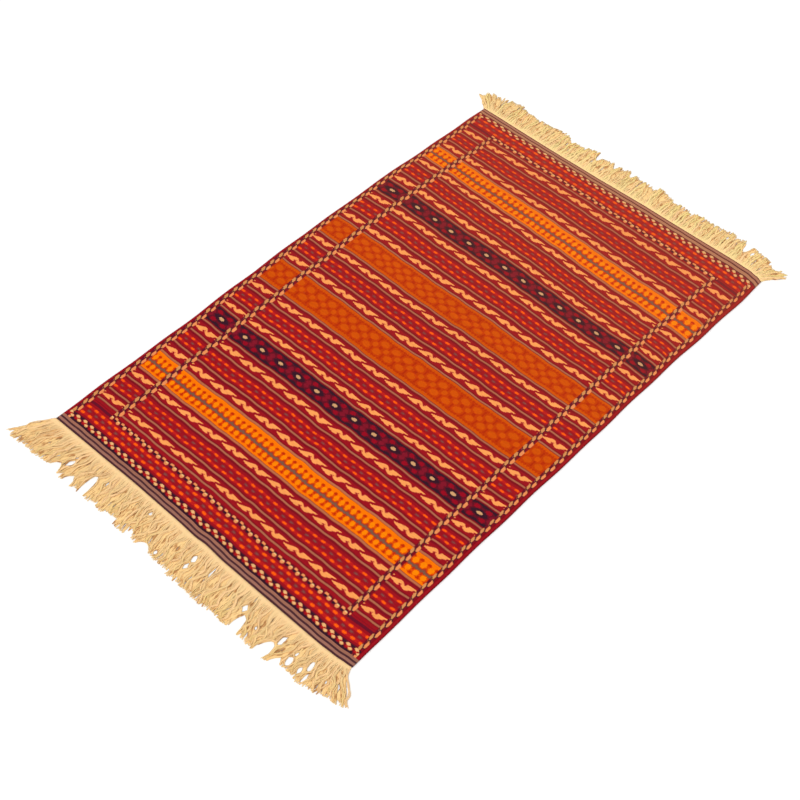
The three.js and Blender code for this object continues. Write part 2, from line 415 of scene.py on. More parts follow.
# Each chart is drawn as it lies: its first line is the row of stitches furthest along the rug. A row of
# one letter is one colour all the way, and a word stands for as many of them. A rope is drawn lying
# down, with the left of the rug at its foot.
CHARTS = {
    "ground": "g",
    # The w rows beside the stripes and the T rows at a tan stripe's edges are painted shade.
    "tan stripe": "wTtttTw",
    "lilac stripe": "wlllllK",
    "maroon stripe": "wggddddg",
    "end dark": "E",
    "end navy": "n",
    "end mauve": "m",
    "end brown": "b",
    "far dark": "N",
    "far mauve": "M",
    "far brown": "B",
    "frame dark": "d",
    "selvedge": "zggggz",
    "vine": [
        *"wwwggg",
        "##........#####.....############",
        "#.......########....############",
        "......###########..###########..",
        "....##############.##########...",
        "..############.##############...",
        "############..#############....#",
        "############...##########.......",
        "..###########...#########.......",
        "......######......#####.........",
        *"gggw",
    ],
    "dashes": [*"wwggg", *DASH, *"gg", *GREY_DASH, *"gg", *DASH, *"ggw"],
    "end dashes": [*DASH, "g", *GREY_DASH, "g", *DASH],
    "outer checks": [
        "dCyyyCdnnnnnnn",
        "CyyyyyCdnnnnnn",
        "CyyyyyyCdnnndd",
        "ddCyyCdsdddddd",
        "wwssssssCyyCww",
        "wgssssCyyyyyCw",
        "wwggggsCyyyyCw",
        "nngggngnCCCCnn",
    ],
    "inner checks": [
        "w",
        "wCcccCwwwddwww",
        "dcccccCdnnnndw",
        "dCccccCnyyyydn",
        "wddnnddCyyyycd",
        "ddnnnndccccccd",
        "wdnnnddCccccCw",
        "wwwdwwwwCccCww",
    ],
    "rope": [
        "TcccccTwwwwwwn",
        "cccccccnwwwwwn",
        "cccccccTndwwwn",
        "nTccccccnddddn",
        "nnddddddnCCCCC",
        "CTnddddTnCCCCC",
        "CCTnddddTnCCCC",
        "CCwwwdddwwnCCC",
    ],
    "beads": [
        *"pppp",
        "rqppppppqr",
        "rrqppppqrr",
        "rrqeeeeqrr",
        "qqeeeeeeqq",
        "qqeeeeeeqq",
        "qeeeeeeeeq",
        "qqeeeeeeqq",
        "rqqeeeeqqr",
        "KrqeeeeqrK",
        "KKrqqqqrKK",
        "kkKKKKKKkk",
        "k",
        "KkkkkkkkkK",
        "rKKqqqqKKr",
        "rqqeeeeqqr",
        "rqeeeeeeqr",
        "qqeeeeeeqq",
        "qqeeeeeeqq",
        "rqeeeeeeqr",
        "rqqeeeeqqr",
        "rrqqppqqrr",
        "qqppppppqq",
        *"pp",
    ],
    "diamonds": [
        *"wnn",
        "nnnnaaaaannnn",
        "nnaaaffffaann",
        "aaaafffffaaaa",
        "aaafffffffaaa",
        "aaaffffffaaax",
        "nnaaaffffaaxx",
        "nnnnnaaaaaxxx",
        "nnnnnnnaaaxxx",
        "YYnnnnnnaaxxx",
        "YYYnnnnnnaaxx",
    ],
    "hexagons": [
        *"hhh",
        "hiihhiih",
        "jijiijij",
        "ijjiijji",
        "iiiiiiij",
        "hhiiiijj",
        "hhhhiiij",
        "hhhhhiij",
        "hhhhhiij",
        "hhhhhiij",
        "hhhhhiij",
        "hhhhiiij",
        "hhiiiiii",
        "iiiiiihh",
        "jjiiihhh",
        "jjiiihhh",
    ],
}
# These charts are a quarter of their pattern, with its middle at their lower left: the rest is mirrored.
QUARTERS = ("diamonds", "hexagons")
CHARTS["far checks"] = [row.replace("n", "x") for row in CHARTS["outer checks"]]
# The vine is outlined in stitches of the mixed yarn.
for soft, hard in ((".V", ".#"), ("V.", "#.")):
    CHARTS["vine"] = [row.replace(hard, soft) for row in CHARTS["vine"]]
CHARTS["vine"] = [row.replace(".", "g").replace("#", "v") for row in CHARTS["vine"]]


# ---- Shader nodes ----

BUMP_DISTANCE = 0.0002


def node(tree, kind, inputs=(), **settings):
    """A new shader node with its settings, and with each input linked to a socket or set to a value."""
    made = tree.nodes.new("ShaderNode" + kind)
    for name, value in settings.items():
        setattr(made, name, value)
    for name, value in dict(inputs).items():
        if isinstance(value, bpy.types.NodeSocket):
            tree.links.new(value, made.inputs[name])
        else:
            made.inputs[name].default_value = value
    return made


def maths(tree, operation, first, second=0.0):
    return node(tree, "Math", {0: first, 1: second}, operation=operation).outputs[0]


def scaled(tree, value, factor, added):
    """A value times a factor, with something added."""
    return node(tree, "Math", {0: value, 1: factor, 2: added}, operation="MULTIPLY_ADD").outputs[0]


def risen(tree, value, start, stop, most=1.0):
    """0 up to a start, rising to the most at a stop, and level beyond it."""
    limits = {"From Min": start, "From Max": stop, "To Max": most}
    return node(tree, "MapRange", {"Value": value, **limits}).outputs[0]


def mixed(tree, share, first, second):
    """Two colours mixed by a share."""
    return node(tree, "Mix", {0: share, 6: first, 7: second}, data_type="RGBA").outputs[2]


def empty_material(name):
    """A new material and its empty node tree."""
    material = bpy.data.materials.new(name)
    material.use_nodes = True
    material.node_tree.nodes.clear()
    return material, material.node_tree


def finish_fibre(tree, colour, roughness, gloss, height, relief):
    """The surface that all the yarn has: rough, with hardly any gloss and a fine bump."""
    bump = node(tree, "Bump", {"Height": height, "Strength": relief, "Distance": BUMP_DISTANCE})
    shader = node(tree, "BsdfPrincipled", {
        "Base Color": colour,
        "Roughness": roughness,
        "Specular IOR Level": gloss,
        "Normal": bump.outputs[0],
    })
    node(tree, "OutputMaterial", {0: shader.outputs[0]})


def uv_parts(tree, name):
    """The two coordinates of a UV map."""
    uv = node(tree, "UVMap", uv_map=name)
    parts = node(tree, "SeparateXYZ", {0: uv.outputs[0]})
    return parts.outputs[0], parts.outputs[1]


def stitch_ramp(tree, row, across):
    """One row of a chart: a stepped ramp that changes where its letters do."""
    made = node(tree, "ValToRGB", {0: across})
    ramp = made.color_ramp
    ramp.interpolation = "CONSTANT"
    changes = [k for k in range(len(row)) if k == 0 or row[k] != row[k - 1]]
    while len(ramp.elements) < len(changes):
        ramp.elements.new(1.0)
    for element, k in zip(ramp.elements, changes):
        element.position = k / len(row)
        element.color = paint(*YARNS[row[k]])
    for element in ramp.elements[len(changes):]:
        element.position = 1.0
        element.color = paint(*YARNS[row[-1]])
    return made.outputs[0]


def from_middle(tree, place):
    """How far a place from 0 to 1 is from the middle, also from 0 to 1."""
    return maths(tree, "ABSOLUTE", maths(tree, "SUBTRACT", maths(tree, "MULTIPLY", place, 2.0), 1.0))


def charted(tree, kind, across, up):
    """The colour of a chart at a place across and up one repeat of it, each from 0 to 1."""
    rows = CHARTS[kind][::-1]
    if kind in QUARTERS:
        across, up = from_middle(tree, across), from_middle(tree, up)
    colour = None
    for index, row in enumerate(rows):
        if index and row == rows[index - 1]:
            continue
        stitches = paint(*YARNS[row[0]]) if len(set(row)) == 1 else stitch_ramp(tree, row, across)
        if colour is None:
            colour = stitches
        else:
            above = maths(tree, "GREATER_THAN", up, index / len(rows))
            colour = mixed(tree, above, colour, stitches)
    return colour


# ---- Wool ----

STITCH_WIDTH = 2.45
STITCH_HEIGHT = 1.25
WEFT_RELIEF = 0.35
WEAVE_RELIEF = 0.5
WOOL_ROUGHNESS = 0.92
WOOL_GLOSS = 0.04

# How far a stitch's edge wanders, as a share of a chart, and how finely.
UNEVENNESS = 0.05
UNEVEN_SCALE = 260.0

# How bright the dyed yarn is, as the least and what noise adds to it: in streaks along the weft, where
# the dye changes, and stitch by stitch.
STREAKS = {"scale": (2.6, 190.0, 1.0), "detail": 2.0, "least": 0.83, "added": 0.34}
STITCHES = {"scale": (120.0, 700.0, 1.0), "detail": 1.0, "least": 0.78, "added": 0.44}

# The far end is faded and bleached: from where to where along the rug, in metres, by how much in the
# end, and towards which colour.
FADES = [
    (1.2, 1.6, 0.12, paint(186, 72, 54)),
    (0.5, 1.3, 0.03, paint(255, 165, 95)),
]


def shaken(tree, across, up, yards):
    """A chart's place, with its stitches' edges made a little uneven."""
    noise = node(tree, "TexNoise", {"Vector": yards, "Scale": UNEVEN_SCALE, "Detail": 1.0})
    parts = node(tree, "SeparateColor", {0: noise.outputs["Color"]})
    across, up = (
        maths(tree, "ADD", place, scaled(tree, parts.outputs[index], UNEVENNESS, -UNEVENNESS / 2))
        for index, place in enumerate((across, up))
    )
    return maths(tree, "FRACT", across), up


def yarn_shade(tree, yards):
    """How bright the dyed yarn is."""
    shades = []
    for look in (STREAKS, STITCHES):
        place = node(tree, "Mapping", {"Vector": yards, "Scale": look["scale"]}).outputs[0]
        noise = node(tree, "TexNoise", {"Vector": place, "Scale": 1.0, "Detail": look["detail"]})
        shades.append(scaled(tree, noise.outputs[0], look["added"], look["least"]))
    return maths(tree, "MULTIPLY", *shades)


def weave_height(tree):
    """The weft's ribs over the warps, and the single wefts across them."""
    across, along = uv_parts(tree, "loom")
    ribs = maths(tree, "SINE", maths(tree, "MULTIPLY", across, 2 * math.pi / (STITCH_WIDTH * MM)))
    wefts = maths(tree, "SINE", maths(tree, "MULTIPLY", along, 2 * math.pi / (STITCH_HEIGHT * MM)))
    return scaled(tree, wefts, WEFT_RELIEF, ribs)


def wool_material(kind):
    """Dyed wool woven to one chart."""
    material, tree = empty_material("wool_" + kind.replace(" ", "_"))
    yards = node(tree, "UVMap", uv_map="loom").outputs[0]
    across, up = shaken(tree, *uv_parts(tree, "chart"), yards)
    pattern = charted(tree, kind, across, up)
    colour = node(tree, "HueSaturation", {"Color": pattern, "Value": yarn_shade(tree, yards)}).outputs[0]
    along = node(tree, "SeparateXYZ", {0: yards}).outputs[1]
    for start, stop, share, tint in FADES:
        colour = mixed(tree, risen(tree, along, start, stop, share), colour, tint)
    finish_fibre(tree, colour, WOOL_ROUGHNESS, WOOL_GLOSS, weave_height(tree), WEAVE_RELIEF)
    return material


# ---- The cloth ----

LARGEST_STEP_ACROSS = 9
LARGEST_STEP_ALONG = 7
RIM_STEPS = (0, 0.3, 1.2)
RIM_ROUNDING = 2.6

# How deep the furrows between the layout's cells are, and the gentle swells of the top.
FURROW = 0.45
SWELLS = [(0.35, 95, 160), (0.35, 37, -52)]

# The bake map: how much of its width the top takes, and the margin round the top and the underside.
TOP_SHARE = 0.612
BAKE_MARGIN = 0.004


def grid_lines(edges, largest):
    """Grid lines at every edge, at steps between them, and close together at the two rims."""
    lines = []
    for start, stop in zip(edges[:-1], edges[1:]):
        count = max(2, math.ceil((stop - start) / largest))
        lines.extend(start + (stop - start) * k / count for k in range(count))
    lines.append(edges[-1])
    rim_lines = [edges[0] + step for step in RIM_STEPS] + [edges[-1] - step for step in RIM_STEPS]
    return np.array(sorted(set(np.round(lines + rim_lines, 4))))


def near_any(values, edges):
    """1 where a value is one of the edges, and 0 elsewhere."""
    return np.isclose(values[:, None], np.array(edges)[None, :], atol=1e-3).any(axis=1).astype(float)


def rim_height(inset):
    """The cloth's half thickness as a share, from nothing at its rim to the whole past its rounding."""
    part = np.clip(inset / RIM_ROUNDING, 0, 1)
    return np.sqrt(1 - (1 - part) ** 2)


def make_mesh(name, points, faces, uv_maps, materials, face_materials=None, smooth=True):
    """A mesh piece from arrays: points in metres, quads, and one UV for each corner of a quad."""
    mesh = bpy.data.meshes.new(name)
    mesh.vertices.add(len(points))
    mesh.vertices.foreach_set("co", points.astype(np.float32).ravel())
    mesh.loops.add(faces.size)
    mesh.loops.foreach_set("vertex_index", faces.astype(np.int32).ravel())
    mesh.polygons.add(len(faces))
    mesh.polygons.foreach_set("loop_start", np.arange(0, faces.size, 4, dtype=np.int32))
    for material in materials:
        mesh.materials.append(material)
    if face_materials is not None:
        mesh.polygons.foreach_set("material_index", face_materials.astype(np.int32))
    mesh.polygons.foreach_set("use_smooth", np.full(len(faces), smooth))
    for map_name, values in uv_maps.items():
        layer = mesh.uv_layers.new(name=map_name)
        layer.data.foreach_set("uv", values.astype(np.float32).ravel())
    mesh.update(calc_edges=True)
    mesh.validate()
    piece = bpy.data.objects.new(name, mesh)
    bpy.context.collection.objects.link(piece)
    return piece


def quads(grid):
    """The four corners of every cell of a grid."""
    return np.stack([grid[:-1, :-1], grid[:-1, 1:], grid[1:, 1:], grid[1:, :-1]], axis=-1)


def cloth_surface(xs, ys, column_edges, row_edges):
    """The cloth's points in metres, and its quads on top and below, which share the rim's points."""
    across, along = np.meshgrid(xs, ys)
    x, y = weave_point(across, along)
    inset = np.minimum.reduce([across, CLOTH_WIDTH - across, along, CLOTH_LENGTH - along])
    furrows = np.maximum(near_any(ys, row_edges)[:, None], near_any(xs, column_edges[2:-2])[None, :])
    swell = waves(SWELLS, across, along) + sum(height for height, _, _ in SWELLS)
    half = CLOTH_THICKNESS / 2
    top = half + (half - FURROW * furrows + swell) * rim_height(inset)
    under = half - (half - FURROW * furrows) * rim_height(inset)
    flat = [ORIGIN_X + x.ravel() * MM, ORIGIN_Y + y.ravel() * MM]
    tops = np.stack([*flat, top.ravel() * MM], axis=1)
    unders = np.stack([*flat, under.ravel() * MM], axis=1)
    index = np.arange(across.size).reshape(across.shape)
    inner = np.zeros_like(index, dtype=bool)
    inner[1:-1, 1:-1] = True
    under_index = index.copy()
    under_index[inner] = across.size + np.arange(inner.sum())
    points = np.concatenate([tops, unders[inner.ravel()]])
    return points, quads(index).reshape(-1, 4), quads(under_index).reshape(-1, 4)[:, ::-1]


def chart_places(xs, ys):
    """Every quad's chart, as its number in CHARTS, and where in the chart each of its corners is."""
    kinds = list(CHARTS)
    loom_across, loom_along = (quads(grid) for grid in np.meshgrid(xs, ys))
    chart_u, chart_v = np.zeros_like(loom_across), np.zeros_like(loom_along)
    quad_kinds = np.zeros(loom_across.shape[:2], dtype=int)
    middle_x = (xs[:-1] + xs[1:]) / 2
    middle_y = (ys[:-1] + ys[1:]) / 2
    for row in ROWS:
        in_row = np.flatnonzero((middle_y > row[1]) & (middle_y < row[2]))
        for column in COLUMNS:
            in_column = np.flatnonzero((middle_x > column[1]) & (middle_x < column[2]))
            place = np.ix_(in_row, in_column)
            kind, counted = cell(row, column)
            quad_kinds[place] = kinds.index(kind)
            chart_u[place] = counted(loom_across[place], loom_along[place])
            if kind in ("rope", "selvedge"):
                chart_v[place] = (loom_across[place] - column[1]) / (column[2] - column[1])
            else:
                chart_v[place] = (loom_along[place] - row[1]) / (row[2] - row[1])
    return quad_kinds.ravel(), np.stack([chart_u, chart_v], axis=-1).reshape(-1, 4, 2)


def bake_places(loom):
    """Bake maps of the top, in the rug's own proportions, and of the underside, narrower beside it."""
    across, along = loom[..., 0] / (CLOTH_WIDTH * MM), loom[..., 1] / (CLOTH_LENGTH * MM)
    v = BAKE_MARGIN + along * (1 - 2 * BAKE_MARGIN)
    top = BAKE_MARGIN + across * (TOP_SHARE - 2 * BAKE_MARGIN)
    under = TOP_SHARE + BAKE_MARGIN + across * (1 - TOP_SHARE - 2 * BAKE_MARGIN)
    return np.stack([top, v], axis=-1), np.stack([under, v], axis=-1)


def make_cloth():
    column_edges = [COLUMNS[0][1], *[column[2] for column in COLUMNS]]
    row_edges = [ROWS[0][1], *[row[2] for row in ROWS]]
    xs = grid_lines(column_edges, LARGEST_STEP_ACROSS)
    ys = grid_lines(row_edges, LARGEST_STEP_ALONG)
    points, faces_up, faces_down = cloth_surface(xs, ys, column_edges, row_edges)
    quad_kinds, chart = chart_places(xs, ys)
    loom = np.stack([quads(grid) for grid in np.meshgrid(xs, ys)], axis=-1).reshape(-1, 4, 2) * MM

    def both(up, down):
        return np.concatenate([up, down[:, ::-1]])

    return make_mesh(
        "rug_cloth",
        points,
        np.concatenate([faces_up, faces_down]),
        {"chart": both(chart, chart), "loom": both(loom, loom), "OFBake": both(*bake_places(loom))},
        [wool_material(kind) for kind in CHARTS],
        np.concatenate([quad_kinds, quad_kinds]),
    )


# ---- The fringes ----

# One row for each tuft, from the left selvedge to the right, as in the part's source: where it leaves
# the cloth, how far its tip leans in +X, how far it reaches out from the cloth, and its width near the
# tip.
NEAR_TUFTS = table("root lean reach tip", [
    (15, -55, 110, 20), (34, -48, 108, 26), (56, -46, 112, 26), (80, -43, 108, 26), (104, -40, 108, 26),
    (124, -36, 100, 22), (146, -18, 107, 20), (168, -17, 111, 18), (186, -2, 109, 18),
    (200, -2, 108, 16), (224, 6, 107, 16), (248, 4, 101, 26), (272, 8, 109, 20), (296, 7, 100, 26),
    (320, 5, 100, 26), (343, 3, 115, 14), (366, 4, 98, 26), (390, 5, 104, 24), (414, -5, 107, 13),
    (438, 13, 113, 18), (463, 8, 109, 24), (488, 7, 116, 18), (512, 5, 104, 22), (536, 5, 121, 13),
    (560, 6, 116, 22), (584, 6, 112, 26), (608, 5, 113, 24), (633, 8, 119, 20), (657, 8, 113, 24),
    (681, 7, 112, 25), (707, 3, 112, 22), (735, 22, 113, 16), (758, 19, 112, 22), (782, 18, 115, 18),
    (806, 0, 108, 12), (830, -38, 112, 20), (852, -18, 97, 16), (872, -28, 112, 18), (890, -4, 98, 16),
    (912, -4, 98, 22), (934, -2, 106, 14), (952, 2, 105, 12), (966, 10, 98, 24), (974, 24, 95, 22),
    (982, 40, 91, 24), (985, 57, 83, 20),
])

FAR_TUFTS = table("root lean reach tip", [
    (15, -61, 48, 18), (18, -50, 62, 20), (26, -36, 78, 18), (46, -10, 88, 20), (68, -4, 93, 26),
    (92, 0, 89, 26), (114, -4, 82, 20), (138, 0, 81, 26), (163, 0, 80, 26), (188, 5, 89, 26),
    (214, 3, 88, 27), (240, 1, 90, 27), (262, -4, 84, 16), (292, -2, 83, 22), (317, 1, 78, 26),
    (341, 1, 90, 20), (365, -7, 96, 13), (397, 1, 82, 18), (424, 1, 87, 22), (454, 6, 86, 18),
    (477, -2, 95, 16), (496, -3, 88, 16), (526, 2, 86, 24), (551, 1, 85, 26), (577, -1, 82, 24),
    (600, -2, 98, 14), (624, 2, 82, 26), (650, 2, 76, 27), (676, 2, 77, 27), (702, 2, 75, 27),
    (728, 4, 82, 26), (753, 0, 84, 24), (773, -2, 78, 16), (793, -1, 90, 22), (816, 0, 87, 24),
    (841, 1, 94, 22), (866, 3, 90, 24), (886, -1, 82, 12), (915, 7, 80, 20), (942, 4, 80, 26),
    (964, 12, 76, 26), (976, 24, 66, 20), (982, 34, 74, 20), (985, 53, 63, 18),
])

# Gaps: the middle of each across the rug and out from the cloth, its breadth and length, and how far
# its outer end is turned towards +X, in degrees. The last seven near ones and the last five far ones are
# notches in the tips.
NEAR_GAPS = table("across out breadth length turn", [
    (131, 66, 12, 20, -30), (377, 33, 11, 13, 0), (378, 92, 6, 8, 0), (465, 94, 11, 13, 0),
    (543, 46, 14, 25, 25), (544, 73, 12, 26, 45), (721, 51, 15, 22, -30), (775, 71, 9, 12, 0),
    (841, 54, 11, 30, 15), (889, 52, 7, 11, 0), (887, 76, 15, 28, 20), (919, 78, 10, 18, 10),
    (932, 56, 12, 30, 15), (940, 88, 6, 30, 5), (983, 65, 7, 9, 0), (108, 106, 28, 50, -10),
    (164, 110, 25, 46, 0), (210, 88, 23, 84, 7), (432, 118, 38, 50, 0), (738, 100, 26, 72, 0),
    (824, 102, 32, 72, -12), (865, 112, 20, 52, -10),
])

FAR_GAPS = table("across out breadth length turn", [
    (838, 62, 7, 14, 0), (921, 60, 7, 13, 15), (280, 90, 16, 40, 0), (379, 84, 18, 50, 0),
    (436, 88, 16, 40, 0), (492, 88, 14, 36, 0), (900, 82, 22, 70, 0),
])

# Curl: how strongly a fringe's locks wave. Crossing: how far they wander from their own place, in mm.
# Sweep: how late the strands turn from straight out towards their lean, at five places across.
SWEEP_PLACES = (0, 60, 200, 940, 1000)
FRINGE_STYLES = {
    "near": {"curl": 1.0, "crossing": 11.0, "sweep": (0.7, 0.8, 1.2, 1.3, 1.5), "seed": 11},
    "far": {"curl": 0.5, "crossing": 8.0, "sweep": (1.0, 1.1, 1.2, 1.3, 1.5), "seed": 23},
}
STRAND_SPACING = 0.76
FEWEST_STRANDS = 22
STRAND_STEPS = 18
STRAND_SIDES = 4
HALF_WIDTH = 1.3
MAT_HALF_WIDTH = 2.6
HALF_HEIGHT = 0.38
THICKNESSES = (0.85, 1.1)
TAPER_START = 0.85
TIP_THICKNESS = 0.45
ROOT_MARGIN = 3
ROOT_INSET = 1.5
ROOT_HEIGHT = 1.7

# Each tuft's locks, and what share of its strands lie loose in the mat under them.
LOCKS = 3
MAT_SHARE = 0.5
LOCK_HALF_WIDTH = 2.8
LOCK_TIP_HALF_WIDTH = 2.2
LOCK_LENGTHS = (0.9, 1.03)
STRAND_LENGTHS = (0.96, 1.0)

# Heights over the floor: of the mat, of the lowest lock and of the highest over it, and how much a
# lock's middle stands out.
MAT_HEIGHT = 0.75
LOWEST_LOCK = 0.8
LOCK_HEIGHT = 1.8
LOCK_BULGE = 1.1

# Where along a strand it comes free of the woven edge, is drawn into its lock, gathers with its tuft
# and leaves the height of its root, each from one share of its length to another.
COMING_FREE = (0.07, 0.5)
DRAWN_IN = (0.08, 0.48)
GATHERING = (0.55, 1)
LEAVING_ROOT = (0.05, 0.3)
GATHERED_SHARE = 0.7

# The locks' bends, the fewest and the most radians in a strand. Waves: each one's height, and how many
# times as fast as its lock's bend it runs.
BENDS = (7, 12)
LOCK_WAVES = [(5.0, 1), (1.4, 2.2)]
MAT_WAVES = [(1.6, 1), (1.0, 2.6)]
STRAND_WAVE = (0.6, 2.9)
REACH_WAVE = (1.2, 1.7)
HEIGHT_WAVE = (0.5, 1.3)

# How far strands keep clear of a gap's sides and ends, and over what breadth they crowd beside it.
GAP_MARGIN = 0.8
GAP_END_MARGIN = 2
GAP_EASING = 8

# The strips that a fringe's maps are divided into, one for each shade of yarn. The mat's strips come
# first, and a few neighbouring strands of it share one.
SHADE_STRIPS = 72
MAT_STRIPS = 24
MAT_STRANDS_ALIKE = 4
STRIP_MARGIN = 0.1
STRIP_END_MARGIN = 0.01
PLY_LENGTH = 3.2


def strand_roots(tufts, chance):
    """For each strand: its tuft and its place in the tuft's own width, from 0 to 1."""
    roots = tufts["root"]
    halfway = (roots[1:] + roots[:-1]) / 2
    edges = np.concatenate([[ROOT_MARGIN], halfway, [CLOTH_WIDTH - ROOT_MARGIN]])
    owners, places = [], []
    for number, zone in enumerate(np.diff(edges)):
        count = max(FEWEST_STRANDS, round(zone / STRAND_SPACING))
        owners.append(np.full(count, number))
        places.append((np.arange(count) + chance.uniform(0.2, 0.8, count)) / count)
    return np.concatenate(owners), np.concatenate(places)


def pushed_aside(across, out, gaps):
    """Strands' places with the gaps kept clear: each strand passes a gap on one side."""
    for number in range(len(gaps["across"])):
        gap = {name: values[number] for name, values in gaps.items()}
        turn = math.radians(gap["turn"])
        from_x, from_out = across - gap["across"], out - gap["out"]
        sideways = from_x * math.cos(turn) - from_out * math.sin(turn)
        lengthways = from_x * math.sin(turn) + from_out * math.cos(turn)
        room = np.clip(1 - (lengthways / (gap["length"] / 2 + GAP_END_MARGIN)) ** 2, 0, None)
        drift = (sideways * room).sum(axis=1, keepdims=True)
        side = np.where(drift < 0, -1.0, 1.0)
        clear = (gap["breadth"] / 2 + GAP_MARGIN) * np.sqrt(room)
        reach = clear + GAP_EASING * room
        distance = sideways * side
        inside = (room > 0) & (np.abs(distance) < reach)
        moved = clear + np.clip(distance, 0, None) * (reach - clear) / np.maximum(reach, 1e-6)
        shift = np.where(inside, side * (moved - distance), 0)
        across = across + shift * math.cos(turn)
        out = out - shift * math.sin(turn)
    return across, out


def tuft_lines(tufts, owners, sweep, part):
    """At each strand's points: its tuft's spine, the lines halfway to the spines beside it, left and
    right, and half the tuft's breadth near the tip."""
    last = len(tufts["root"]) - 1

    def spine(number):
        root, lean, late = (values[number][:, None] for values in (tufts["root"], tufts["lean"], sweep))
        return root + lean * part ** late

    own = spine(owners)
    half_tip = tufts["tip"][owners][:, None] / 2
    from_rim = np.where(owners == 0, tufts["root"][0], CLOTH_WIDTH - tufts["root"][last])[:, None]
    to_rim = between(from_rim - ROOT_MARGIN, half_tip, part)
    halfway_left = (spine(np.maximum(owners - 1, 0)) + own) / 2
    halfway_right = (spine(np.minimum(owners + 1, last)) + own) / 2
    left = np.where((owners == 0)[:, None], own - to_rim, halfway_left)
    right = np.where((owners == last)[:, None], own + to_rim, halfway_right)
    return own, left, right, half_tip


def strand_paths(tufts, gaps, style, chance):
    """Every strand's points across the rug, out from the cloth and up from the floor, in millimetres."""
    owners, places = strand_roots(tufts, chance)
    count = len(owners)
    loose = chance.random((count, 1)) < MAT_SHARE
    lock_in_tuft = (places * LOCKS).astype(int)
    rank = ((places * LOCKS - lock_in_tuft) * 2 - 1)[:, None]
    lock = owners * LOCKS + lock_in_tuft
    lock_count = len(tufts["root"]) * LOCKS
    lock_length = chance.uniform(*LOCK_LENGTHS, lock_count)[lock]
    length = chance.uniform(*STRAND_LENGTHS, count) * lock_length
    part = np.linspace(0, 1, STRAND_STEPS)[None, :] * length[:, None]
    sweep = np.interp(tufts["root"], SWEEP_PLACES, style["sweep"])
    own, left, right, half_tip = tuft_lines(tufts, owners, sweep, part)

    def across_tuft(place):
        spread = between(left, right, place)
        gathered = own + (place * 2 - 1) * half_tip
        return between(spread, gathered, GATHERED_SHARE * eased_part(part, *GATHERING))

    def wave(height, rate, start):
        return height * np.sin(part * bend * rate + start)

    # Locks: strands drawn together that wave as one and cross their neighbours.
    freedom = eased_part(part, *COMING_FREE)
    phase = chance.uniform(0, 2 * math.pi, (3, lock_count))[:, lock][:, :, None]
    bend = chance.uniform(*BENDS, lock_count)[lock][:, None]
    crossing = chance.normal(0, style["crossing"], lock_count)[lock][:, None]
    curl = sum(wave(*shape, start) for shape, start in zip(LOCK_WAVES, phase))
    own_phase = chance.uniform(0, 2 * math.pi, (3, count, 1))
    jitter = wave(*STRAND_WAVE, own_phase[0]) + chance.normal(0, 0.8, (count, 1)) * part**2
    zone = right[:, :1] - left[:, :1]
    half_lock = between(zone / LOCKS / 2, LOCK_HALF_WIDTH, eased_part(part, *DRAWN_IN))
    half_lock = between(half_lock, LOCK_TIP_HALF_WIDTH, eased_part(part, 0.7, 1))
    locked = across_tuft((lock_in_tuft[:, None] + 0.5) / LOCKS) + rank * half_lock
    locked = locked + (style["curl"] * curl + jitter) * freedom + crossing * eased_part(part)

    # The rest lie evenly under the locks.
    own_curl = sum(wave(*shape, start) for shape, start in zip(MAT_WAVES, own_phase[1:]))
    own_crossing = chance.normal(0, 0.8 * style["crossing"], (count, 1))
    matted = across_tuft(places[:, None]) + style["curl"] * own_curl * freedom + own_crossing * part**2
    across = np.where(loose, matted, locked)
    starts = between(left[:, 0], right[:, 0], places)
    reach = (tufts["reach"][owners] + np.interp(starts, tufts["root"], tufts["reach"])) / 2 + 2
    out = between(-ROOT_INSET, reach[:, None], part) + wave(*REACH_WAVE, phase[2]) * freedom
    across, out = pushed_aside(across, out, gaps)

    # The root is a smooth row. Past it the mat sinks to the floor and the locks lie over each other.
    pile = chance.random(lock_count)[lock][:, None]
    lock_up = LOWEST_LOCK + LOCK_HEIGHT * pile + LOCK_BULGE * (1 - rank**2)
    lock_up = lock_up + (HEIGHT_WAVE[0] + wave(*HEIGHT_WAVE, phase[2])) * freedom
    free_up = np.where(loose, MAT_HEIGHT, lock_up)
    up = between(ROOT_HEIGHT + 0.25 * np.abs(rank), free_up, eased_part(part, *LEAVING_ROOT))
    return across, out, up, reach * part[:, -1], loose[:, 0], lock


def strand_rings(centres, widths, heights):
    """The rings of points round every strand, each a flat lozenge."""
    tangent = np.gradient(centres, axis=1)
    tangent /= np.linalg.norm(tangent, axis=2, keepdims=True)
    side = np.cross(tangent, [0.0, 0.0, 1.0])
    side /= np.linalg.norm(side, axis=2, keepdims=True)
    upward = np.cross(side, tangent)
    angle = 2 * math.pi * np.arange(STRAND_SIDES) / STRAND_SIDES
    sideways = np.cos(angle)[None, None, :, None] * side[:, :, None] * widths[:, :, None, None]
    raised = np.sin(angle)[None, None, :, None] * upward[:, :, None] * heights[:, :, None, None]
    return centres[:, :, None] + sideways + raised


